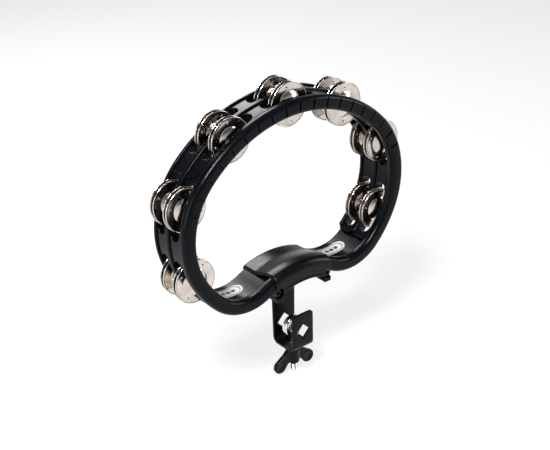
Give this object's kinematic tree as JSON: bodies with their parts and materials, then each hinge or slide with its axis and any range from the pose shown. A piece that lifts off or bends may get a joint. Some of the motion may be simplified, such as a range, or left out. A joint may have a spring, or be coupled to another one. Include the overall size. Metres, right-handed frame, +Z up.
{
  "type": "mountable tambourine",
  "caption": "Mountable tambourine: bowed half-moon ring with rows of paired jingles, a clamped cover over the handle and a bracket with eye bolt and wing nut for a stand rod.",
  "frame": {"origin": "middle of the rod clamp's eye, where the stand rod's axis crosses the bolt's axis", "axes": "+Y along the stand rod, from the front rim towards the back row; +Z up through the ring; +X to the right seen from the front"},
  "size_m": [0.325, 0.0665, 0.3576],
  "materials": {
    "black_abs": "satin moulded ABS",
    "black_cover": "smooth satin moulded ABS",
    "powder_coat": "black powder coat on steel",
    "black_gloss": "glossy black plastic with a metal thread",
    "black_screws": "black oxide steel",
    "pin_steel": "darkened steel pin",
    "jingle_steel": "nickel-plated pressed steel",
    "nickel": "nickel-plated steel",
    "label_white": "white vinyl label"
  },
  "bodies": {
    "ring_and_bracket": {"frame": "black_abs", "jingle_pins": "pin_steel", "clamp_cover": "black_cover", "clamp_jaw": "black_abs", "clamp_screws": "black_screws", "clamp_nuts": "black_screws", "bracket": "powder_coat", "bracket_rivets": "black_screws", "label_left": "label_white", "label_right": "label_white"},
    "wing_nut": {"wing_nut": "black_gloss"},
    "eye_bolt": {"eye_bolt": "nickel"},
    "jingle_1_front_outer": {"jingle_1_front_outer": "jingle_steel"},
    "jingle_1_front_inner": {"jingle_1_front_inner": "jingle_steel"},
    "jingle_1_back_outer": {"jingle_1_back_outer": "jingle_steel"},
    "jingle_1_back_inner": {"jingle_1_back_inner": "jingle_steel"},
    "jingle_2_front_outer": {"jingle_2_front_outer": "jingle_steel"},
    "jingle_2_front_inner": {"jingle_2_front_inner": "jingle_steel"},
    "jingle_2_back_outer": {"jingle_2_back_outer": "jingle_steel"},
    "jingle_2_back_inner": {"jingle_2_back_inner": "jingle_steel"},
    "jingle_3_front_outer": {"jingle_3_front_outer": "jingle_steel"},
    "jingle_3_front_inner": {"jingle_3_front_inner": "jingle_steel"},
    "jingle_3_back_outer": {"jingle_3_back_outer": "jingle_steel"},
    "jingle_3_back_inner": {"jingle_3_back_inner": "jingle_steel"},
    "jingle_4_front_outer": {"jingle_4_front_outer": "jingle_steel"},
    "jingle_4_front_inner": {"jingle_4_front_inner": "jingle_steel"},
    "jingle_4_back_outer": {"jingle_4_back_outer": "jingle_steel"},
    "jingle_4_back_inner": {"jingle_4_back_inner": "jingle_steel"},
    "jingle_5_front_outer": {"jingle_5_front_outer": "jingle_steel"},
    "jingle_5_front_inner": {"jingle_5_front_inner": "jingle_steel"},
    "jingle_5_back_outer": {"jingle_5_back_outer": "jingle_steel"},
    "jingle_5_back_inner": {"jingle_5_back_inner": "jingle_steel"},
    "jingle_6_front_outer": {"jingle_6_front_outer": "jingle_steel"},
    "jingle_6_front_inner": {"jingle_6_front_inner": "jingle_steel"},
    "jingle_6_back_outer": {"jingle_6_back_outer": "jingle_steel"},
    "jingle_6_back_inner": {"jingle_6_back_inner": "jingle_steel"},
    "jingle_7_front_outer": {"jingle_7_front_outer": "jingle_steel"},
    "jingle_7_front_inner": {"jingle_7_front_inner": "jingle_steel"},
    "jingle_7_back_outer": {"jingle_7_back_outer": "jingle_steel"},
    "jingle_7_back_inner": {"jingle_7_back_inner": "jingle_steel"}
  },
  "joints": [
    {"name": "jingle_1_front_outer_slide", "type": "slide", "parent": "ring_and_bracket", "child": "jingle_1_front_outer", "axis": [0, 1, 0], "range_m": [-0.0008, 0.0008]},
    {"name": "jingle_1_front_inner_slide", "type": "slide", "parent": "ring_and_bracket", "child": "jingle_1_front_inner", "axis": [0, 1, 0], "range_m": [-0.0008, 0.0008]},
    {"name": "jingle_1_back_outer_slide", "type": "slide", "parent": "ring_and_bracket", "child": "jingle_1_back_outer", "axis": [0, 1, 0], "range_m": [-0.0008, 0.0008]},
    {"name": "jingle_1_back_inner_slide", "type": "slide", "parent": "ring_and_bracket", "child": "jingle_1_back_inner", "axis": [0, 1, 0], "range_m": [-0.0008, 0.0008]},
    {"name": "jingle_2_front_outer_slide", "type": "slide", "parent": "ring_and_bracket", "child": "jingle_2_front_outer", "axis": [0, 1, 0], "range_m": [-0.0008, 0.0008]},
    {"name": "jingle_2_front_inner_slide", "type": "slide", "parent": "ring_and_bracket", "child": "jingle_2_front_inner", "axis": [0, 1, 0], "range_m": [-0.0008, 0.0008]},
    {"name": "jingle_2_back_outer_slide", "type": "slide", "parent": "ring_and_bracket", "child": "jingle_2_back_outer", "axis": [0, 1, 0], "range_m": [-0.0008, 0.0008]},
    {"name": "jingle_2_back_inner_slide", "type": "slide", "parent": "ring_and_bracket", "child": "jingle_2_back_inner", "axis": [0, 1, 0], "range_m": [-0.0008, 0.0008]},
    {"name": "jingle_3_front_outer_slide", "type": "slide", "parent": "ring_and_bracket", "child": "jingle_3_front_outer", "axis": [0, 1, 0], "range_m": [-0.0008, 0.0008]},
    {"name": "jingle_3_front_inner_slide", "type": "slide", "parent": "ring_and_bracket", "child": "jingle_3_front_inner", "axis": [0, 1, 0], "range_m": [-0.0008, 0.0008]},
    {"name": "jingle_3_back_outer_slide", "type": "slide", "parent": "ring_and_bracket", "child": "jingle_3_back_outer", "axis": [0, 1, 0], "range_m": [-0.0008, 0.0008]},
    {"name": "jingle_3_back_inner_slide", "type": "slide", "parent": "ring_and_bracket", "child": "jingle_3_back_inner", "axis": [0, 1, 0], "range_m": [-0.0008, 0.0008]},
    {"name": "jingle_4_front_outer_slide", "type": "slide", "parent": "ring_and_bracket", "child": "jingle_4_front_outer", "axis": [0, 1, 0], "range_m": [-0.0008, 0.0008]},
    {"name": "jingle_4_front_inner_slide", "type": "slide", "parent": "ring_and_bracket", "child": "jingle_4_front_inner", "axis": [0, 1, 0], "range_m": [-0.0008, 0.0008]},
    {"name": "jingle_4_back_outer_slide", "type": "slide", "parent": "ring_and_bracket", "child": "jingle_4_back_outer", "axis": [0, 1, 0], "range_m": [-0.0008, 0.0008]},
    {"name": "jingle_4_back_inner_slide", "type": "slide", "parent": "ring_and_bracket", "child": "jingle_4_back_inner", "axis": [0, 1, 0], "range_m": [-0.0008, 0.0008]},
    {"name": "jingle_5_front_outer_slide", "type": "slide", "parent": "ring_and_bracket", "child": "jingle_5_front_outer", "axis": [0, 1, 0], "range_m": [-0.0008, 0.0008]},
    {"name": "jingle_5_front_inner_slide", "type": "slide", "parent": "ring_and_bracket", "child": "jingle_5_front_inner", "axis": [0, 1, 0], "range_m": [-0.0008, 0.0008]},
    {"name": "jingle_5_back_outer_slide", "type": "slide", "parent": "ring_and_bracket", "child": "jingle_5_back_outer", "axis": [0, 1, 0], "range_m": [-0.0008, 0.0008]},
    {"name": "jingle_5_back_inner_slide", "type": "slide", "parent": "ring_and_bracket", "child": "jingle_5_back_inner", "axis": [0, 1, 0], "range_m": [-0.0008, 0.0008]},
    {"name": "jingle_6_front_outer_slide", "type": "slide", "parent": "ring_and_bracket", "child": "jingle_6_front_outer", "axis": [0, 1, 0], "range_m": [-0.0008, 0.0008]},
    {"name": "jingle_6_front_inner_slide", "type": "slide", "parent": "ring_and_bracket", "child": "jingle_6_front_inner", "axis": [0, 1, 0], "range_m": [-0.0008, 0.0008]},
    {"name": "jingle_6_back_outer_slide", "type": "slide", "parent": "ring_and_bracket", "child": "jingle_6_back_outer", "axis": [0, 1, 0], "range_m": [-0.0008, 0.0008]},
    {"name": "jingle_6_back_inner_slide", "type": "slide", "parent": "ring_and_bracket", "child": "jingle_6_back_inner", "axis": [0, 1, 0], "range_m": [-0.0008, 0.0008]},
    {"name": "jingle_7_front_outer_slide", "type": "slide", "parent": "ring_and_bracket", "child": "jingle_7_front_outer", "axis": [0, 1, 0], "range_m": [-0.0008, 0.0008]},
    {"name": "jingle_7_front_inner_slide", "type": "slide", "parent": "ring_and_bracket", "child": "jingle_7_front_inner", "axis": [0, 1, 0], "range_m": [-0.0008, 0.0008]},
    {"name": "jingle_7_back_outer_slide", "type": "slide", "parent": "ring_and_bracket", "child": "jingle_7_back_outer", "axis": [0, 1, 0], "range_m": [-0.0008, 0.0008]},
    {"name": "jingle_7_back_inner_slide", "type": "slide", "parent": "ring_and_bracket", "child": "jingle_7_back_inner", "axis": [0, 1, 0], "range_m": [-0.0008, 0.0008]},
    {"name": "wing_nut_turn", "type": "hinge", "parent": "ring_and_bracket", "child": "wing_nut", "pos_m": [0, 0, -0.037], "axis": [0, 0, 1], "range_deg": [-380, 1460]},
    {"name": "eye_bolt_slide", "type": "slide", "parent": "ring_and_bracket", "child": "eye_bolt", "axis": [0, 0, 1], "range_m": [-0.005, 0.00125]}
  ],
  "couplings": [
    {"joint": "wing_nut_turn", "follows": "eye_bolt_slide", "rad_per_m": -5026.6}
  ]
}
